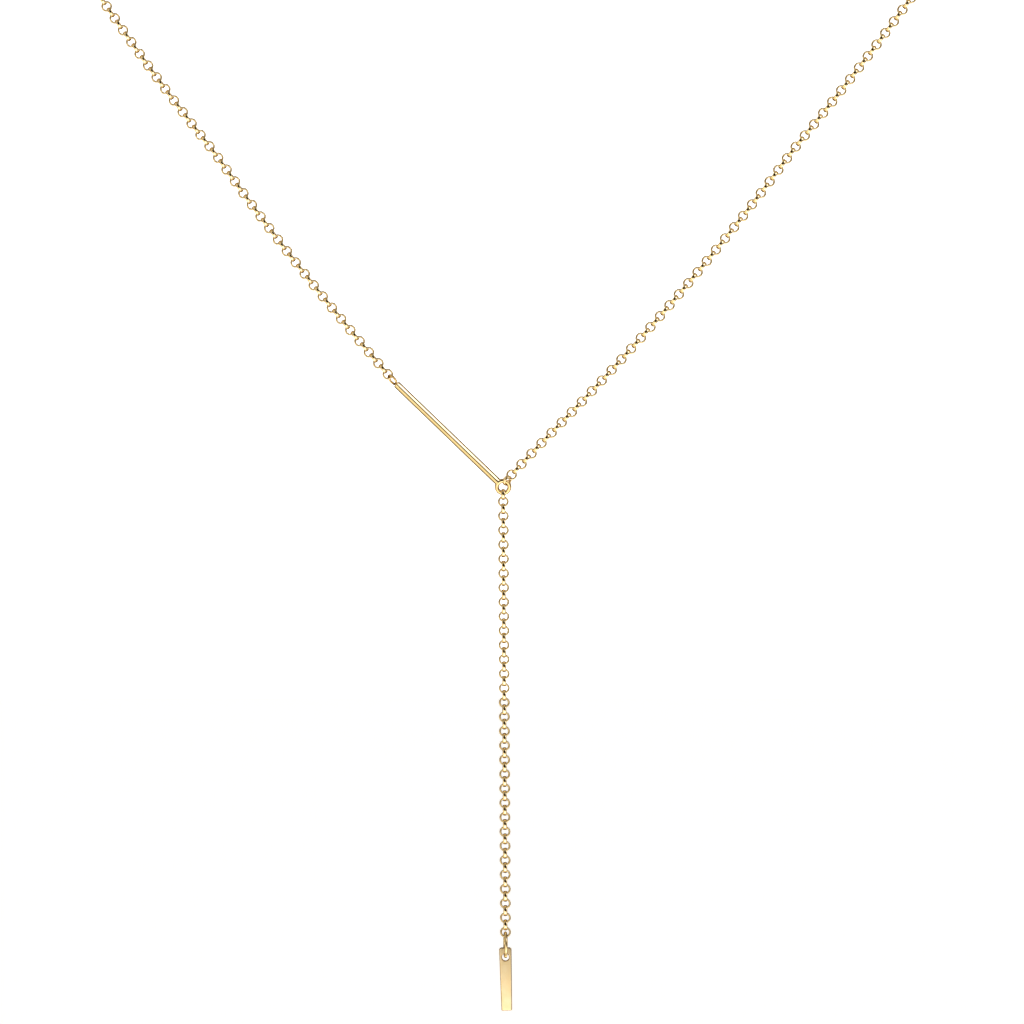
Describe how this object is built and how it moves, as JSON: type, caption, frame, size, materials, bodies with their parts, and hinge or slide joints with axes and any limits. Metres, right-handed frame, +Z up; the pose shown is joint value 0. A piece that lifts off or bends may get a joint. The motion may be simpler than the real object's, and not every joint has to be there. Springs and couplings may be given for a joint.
{
  "type": "y necklace",
  "caption": "Y necklace of fine round belcher links: a loop joined by a square bar and ring, with a chain drop that ends in a slim bar pendant.",
  "frame": {"origin": "centre of the neck opening, at the height where the loop passes the sides of the neck", "axes": "+Z up along the neck, -Y out of the front of the necklace towards the viewer, +X to the viewer's right"},
  "size_m": [0.1314, 0.0826, 0.1879],
  "materials": {
    "polished_gold": "polished",
    "satin_gold": "satin"
  },
  "bodies": {
    "necklace": {"bar_connector": "polished_gold", "left_chain_front": "polished_gold", "right_chain_front": "polished_gold", "drop_chain": "polished_gold", "left_chain_back": "polished_gold", "right_chain_back": "polished_gold", "clasp": "polished_gold"},
    "jump_ring": {"pendant_ring": "polished_gold"},
    "pendant": {"pendant": "satin_gold"}
  },
  "joints": [
    {"name": "ring_swing", "type": "hinge", "parent": "necklace", "child": "jump_ring", "pos_m": [-0.00022, -0.04, -0.16027], "axis": [1, 0, 0], "range_deg": [-35, 35]},
    {"name": "pendant_swing", "type": "hinge", "parent": "jump_ring", "child": "pendant", "pos_m": [-0.00022, -0.04, -0.16307], "axis": [0, 1, 0], "range_deg": [-90, 90]}
  ]
}
